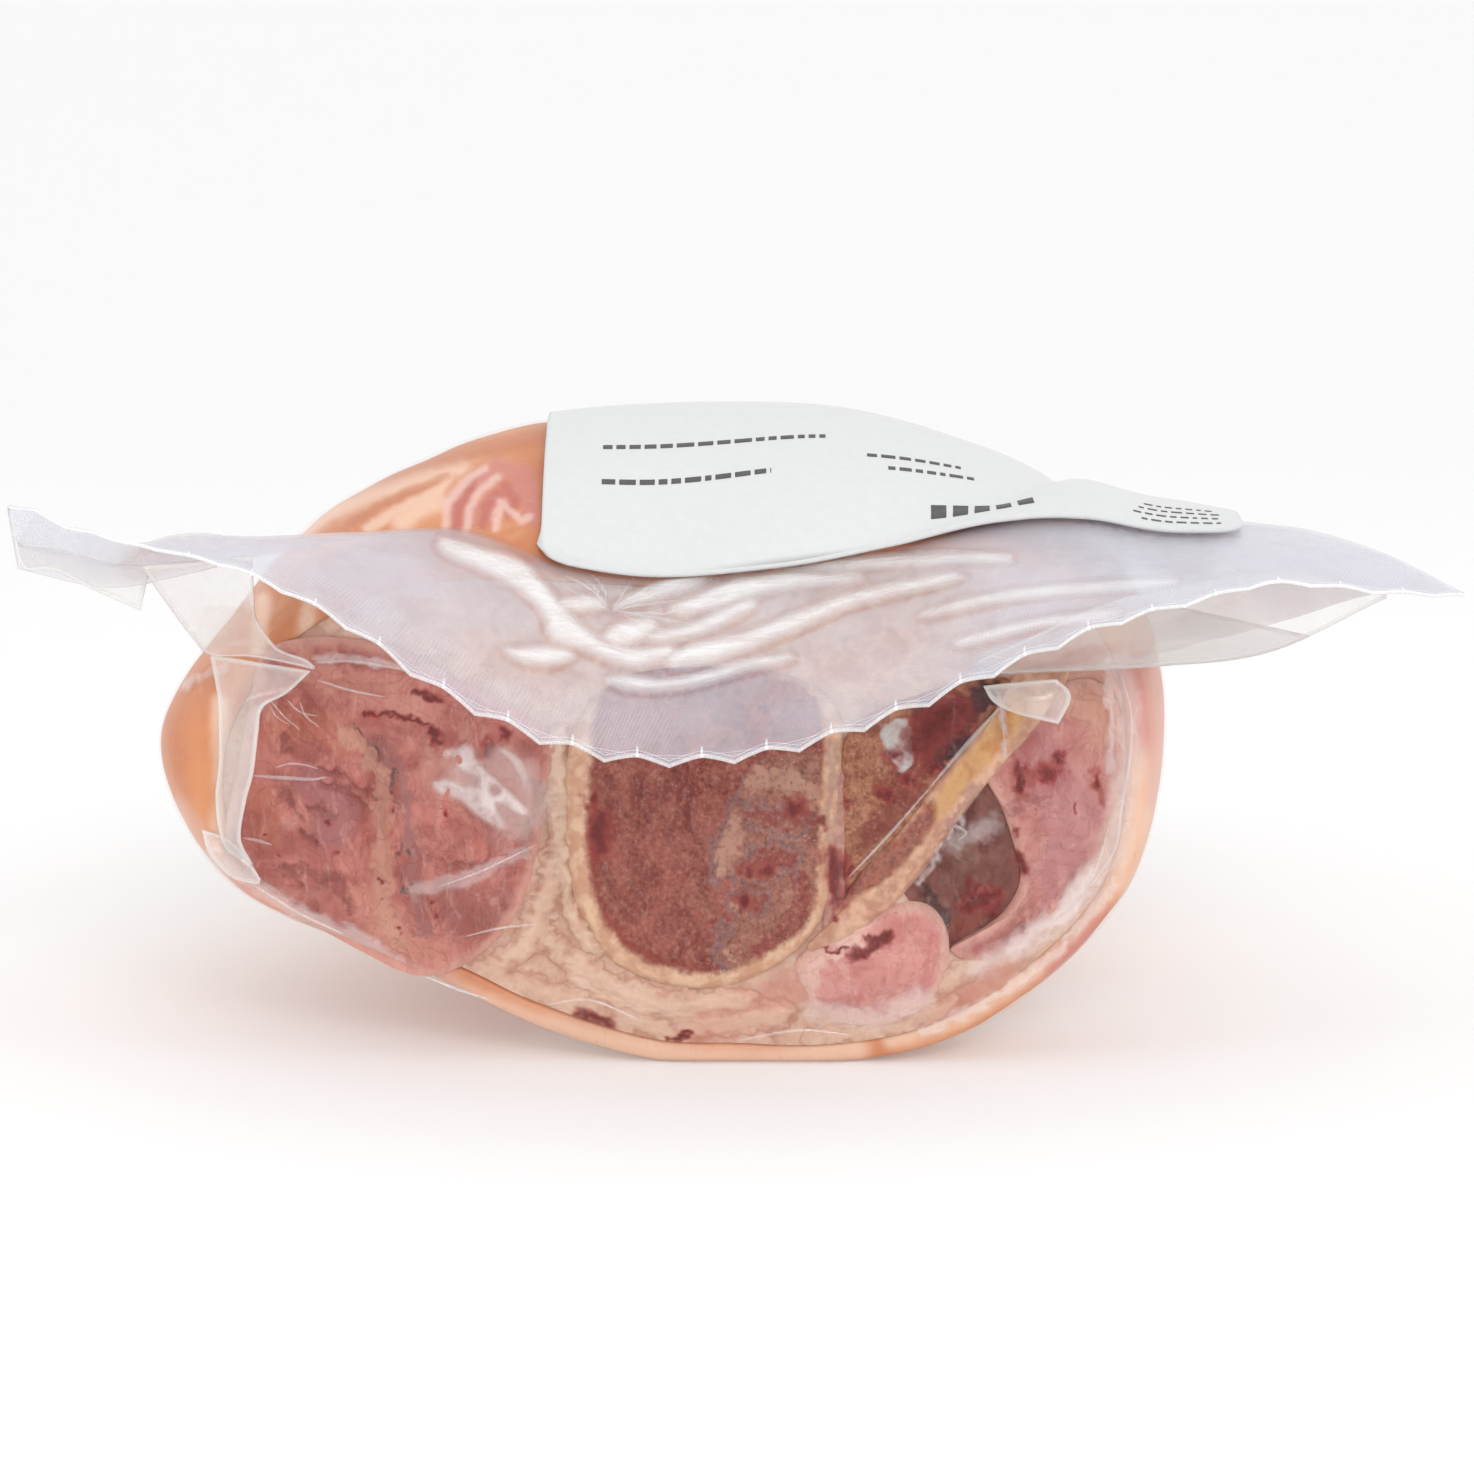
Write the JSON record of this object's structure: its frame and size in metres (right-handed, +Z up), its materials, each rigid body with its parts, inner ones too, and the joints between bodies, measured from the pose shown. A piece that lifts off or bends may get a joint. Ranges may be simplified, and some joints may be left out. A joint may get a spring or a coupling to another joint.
{
  "type": "vacuum-packed cooked pork shank",
  "caption": "Cooked pork shank with its sawn end to the front, vacuum packed in a clear bag with a toothed mouth seal and a paper label on top.",
  "frame": {"origin": "on the surface that the pack lies on, under the middle of its box", "axes": "+Z up, -Y the way the sawn face and the mouth seal look, +X to the right of someone who looks at the sawn face"},
  "size_m": [0.2056, 0.2254, 0.0928],
  "materials": {
    "film": "clear, glossy, milky where two sheets lie on each other",
    "label": "satin white paper",
    "rind": "moist, smooth",
    "meat": "moist, fibrous",
    "fat": "moist, smooth",
    "bone": "sawn, porous"
  },
  "bodies": {
    "root": {"bag": "film", "label": "label"}
  },
  "joints": []
}
